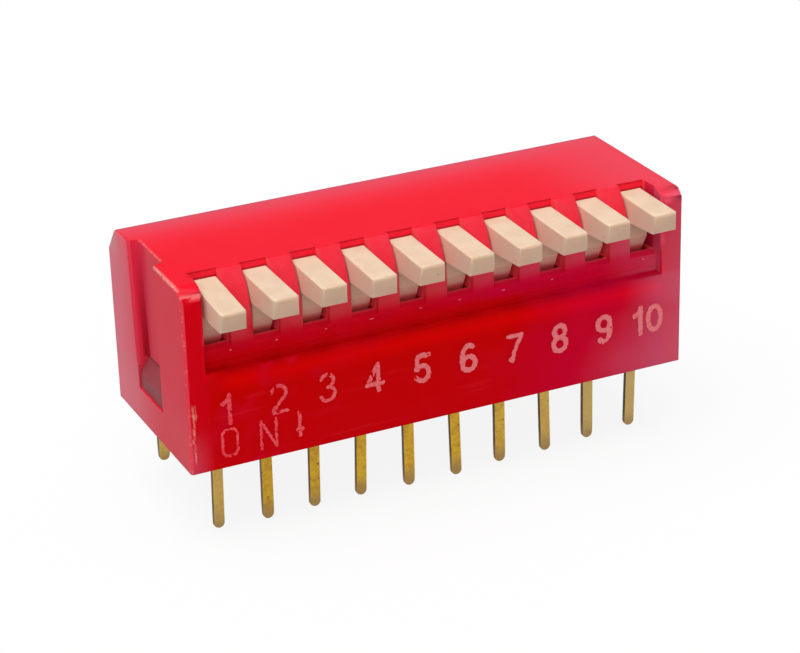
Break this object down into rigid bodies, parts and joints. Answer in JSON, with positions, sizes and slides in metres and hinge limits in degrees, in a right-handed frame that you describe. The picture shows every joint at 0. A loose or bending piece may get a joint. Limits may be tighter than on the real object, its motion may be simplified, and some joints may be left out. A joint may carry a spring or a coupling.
{
  "type": "dip switch",
  "caption": "Piano-style DIP switch: a row of side rocker levers in a bevelled red plastic housing, with two rows of flat through-hole pins below.",
  "frame": {"origin": "centre of the pin field, on the plane of the housing's underside that seats on the board", "axes": "+X along the row of levers from the first to the last position, +Y from the levers to the back of the housing, +Z away from the board"},
  "size_m": [0.0266, 0.0119, 0.0137],
  "materials": {
    "cover_red": "moulded, satin gloss",
    "base_dark": "moulded, dull",
    "lever_cream": "moulded, satin, slightly soiled",
    "wiper_metal": "plated spring strip",
    "pin_metal": "plated strip, dulled"
  },
  "bodies": {
    "housing": {"cover": "cover_red", "base": "base_dark", "front_terminal_01": "pin_metal", "front_terminal_02": "pin_metal", "front_terminal_03": "pin_metal", "front_terminal_04": "pin_metal", "front_terminal_05": "pin_metal", "front_terminal_06": "pin_metal", "front_terminal_07": "pin_metal", "front_terminal_08": "pin_metal", "front_terminal_09": "pin_metal", "front_terminal_10": "pin_metal", "back_terminal_01": "pin_metal", "back_terminal_02": "pin_metal", "back_terminal_03": "pin_metal", "back_terminal_04": "pin_metal", "back_terminal_05": "pin_metal", "back_terminal_06": "pin_metal", "back_terminal_07": "pin_metal", "back_terminal_08": "pin_metal", "back_terminal_09": "pin_metal", "back_terminal_10": "pin_metal"},
    "rocker_01": {"lever_01": "lever_cream", "wiper_01": "wiper_metal"},
    "rocker_02": {"lever_02": "lever_cream", "wiper_02": "wiper_metal"},
    "rocker_03": {"lever_03": "lever_cream", "wiper_03": "wiper_metal"},
    "rocker_04": {"lever_04": "lever_cream", "wiper_04": "wiper_metal"},
    "rocker_05": {"lever_05": "lever_cream", "wiper_05": "wiper_metal"},
    "rocker_06": {"lever_06": "lever_cream", "wiper_06": "wiper_metal"},
    "rocker_07": {"lever_07": "lever_cream", "wiper_07": "wiper_metal"},
    "rocker_08": {"lever_08": "lever_cream", "wiper_08": "wiper_metal"},
    "rocker_09": {"lever_09": "lever_cream", "wiper_09": "wiper_metal"},
    "rocker_10": {"lever_10": "lever_cream", "wiper_10": "wiper_metal"}
  },
  "joints": [
    {"name": "rocker_hinge_01", "type": "hinge", "parent": "housing", "child": "rocker_01", "pos_m": [-0.01143, -0.00135, 0.0065], "axis": [1, 0, 0], "range_deg": [0, 20]},
    {"name": "rocker_hinge_02", "type": "hinge", "parent": "housing", "child": "rocker_02", "pos_m": [-0.00889, -0.00135, 0.0065], "axis": [1, 0, 0], "range_deg": [0, 20]},
    {"name": "rocker_hinge_03", "type": "hinge", "parent": "housing", "child": "rocker_03", "pos_m": [-0.00635, -0.00135, 0.0065], "axis": [1, 0, 0], "range_deg": [0, 20]},
    {"name": "rocker_hinge_04", "type": "hinge", "parent": "housing", "child": "rocker_04", "pos_m": [-0.00381, -0.00135, 0.0065], "axis": [1, 0, 0], "range_deg": [0, 20]},
    {"name": "rocker_hinge_05", "type": "hinge", "parent": "housing", "child": "rocker_05", "pos_m": [-0.00127, -0.00135, 0.0065], "axis": [1, 0, 0], "range_deg": [0, 20]},
    {"name": "rocker_hinge_06", "type": "hinge", "parent": "housing", "child": "rocker_06", "pos_m": [0.00127, -0.00135, 0.0065], "axis": [1, 0, 0], "range_deg": [0, 20]},
    {"name": "rocker_hinge_07", "type": "hinge", "parent": "housing", "child": "rocker_07", "pos_m": [0.00381, -0.00135, 0.0065], "axis": [1, 0, 0], "range_deg": [0, 20]},
    {"name": "rocker_hinge_08", "type": "hinge", "parent": "housing", "child": "rocker_08", "pos_m": [0.00635, -0.00135, 0.0065], "axis": [1, 0, 0], "range_deg": [0, 20]},
    {"name": "rocker_hinge_09", "type": "hinge", "parent": "housing", "child": "rocker_09", "pos_m": [0.00889, -0.00135, 0.0065], "axis": [1, 0, 0], "range_deg": [0, 20]},
    {"name": "rocker_hinge_10", "type": "hinge", "parent": "housing", "child": "rocker_10", "pos_m": [0.01143, -0.00135, 0.0065], "axis": [1, 0, 0], "range_deg": [0, 20]}
  ]
}
